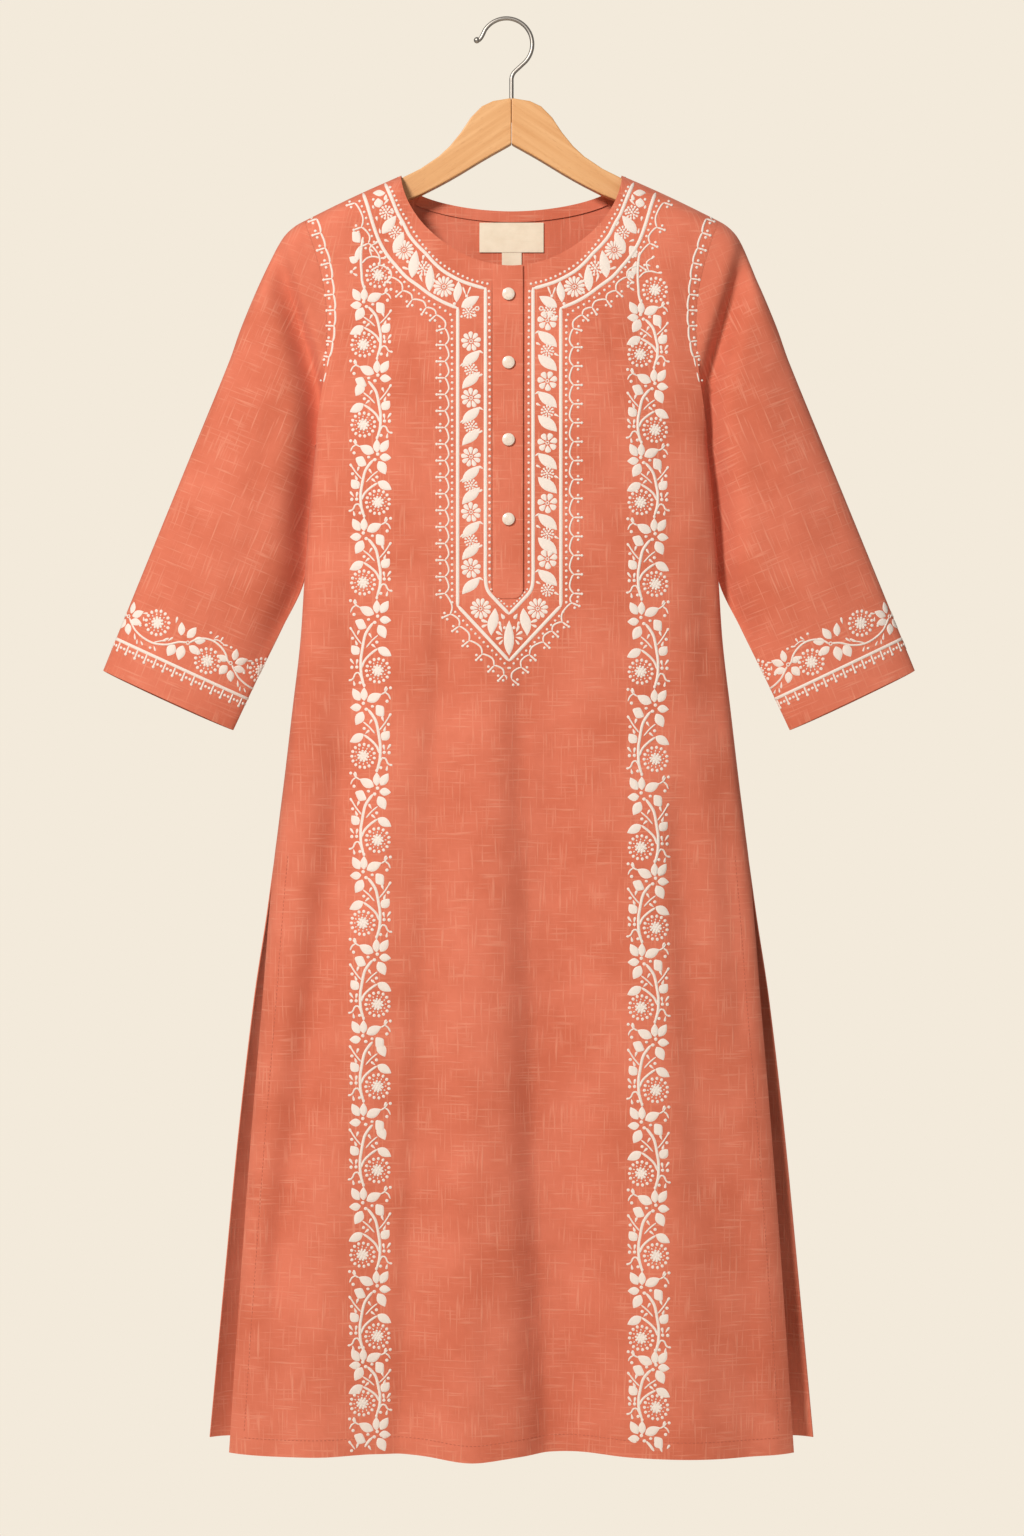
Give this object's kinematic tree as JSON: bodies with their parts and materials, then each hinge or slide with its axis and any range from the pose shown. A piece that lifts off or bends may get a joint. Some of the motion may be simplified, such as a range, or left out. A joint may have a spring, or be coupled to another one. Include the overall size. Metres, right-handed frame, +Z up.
{
  "type": "kurta on a wooden hanger",
  "caption": "Straight knee-length kurta with a buttoned placket, elbow sleeves and side slits, hung on a wooden hanger with a wire hook.",
  "frame": {"origin": "seat inside the hook, where a rod holds the hanger", "axes": "+Z up along the garment, -Y the front of the kurta, +X to the right of a viewer facing the front"},
  "size_m": [0.7305, 0.0854, 1.2909],
  "materials": {
    "front_cloth": "slub cotton, terracotta, with cream embroidery",
    "back_cloth": "slub cotton, terracotta",
    "left_sleeve_cloth": "slub cotton, terracotta, with cream embroidery at the cuff",
    "right_sleeve_cloth": "slub cotton, terracotta, with cream embroidery at the cuff",
    "placket_cloth": "slub cotton, terracotta",
    "facing_cloth": "slub cotton, terracotta",
    "label_tape": "woven satin tape, cream, bare",
    "pearl": "pearl",
    "beech": "satin lacquer",
    "steel": "bright drawn wire"
  },
  "bodies": {
    "root": {"front_panel": "front_cloth", "back_panel": "back_cloth", "sleeve_left": "left_sleeve_cloth", "sleeve_right": "right_sleeve_cloth", "placket_overlap": "placket_cloth", "placket_underlap": "placket_cloth", "back_neck_facing": "facing_cloth", "label_patch": "label_tape", "size_tab": "label_tape", "button_1": "pearl", "button_2": "pearl", "button_3": "pearl", "button_4": "pearl", "hanger_arm_left": "beech", "hanger_arm_right": "beech", "hanger_hook": "steel"}
  },
  "joints": []
}
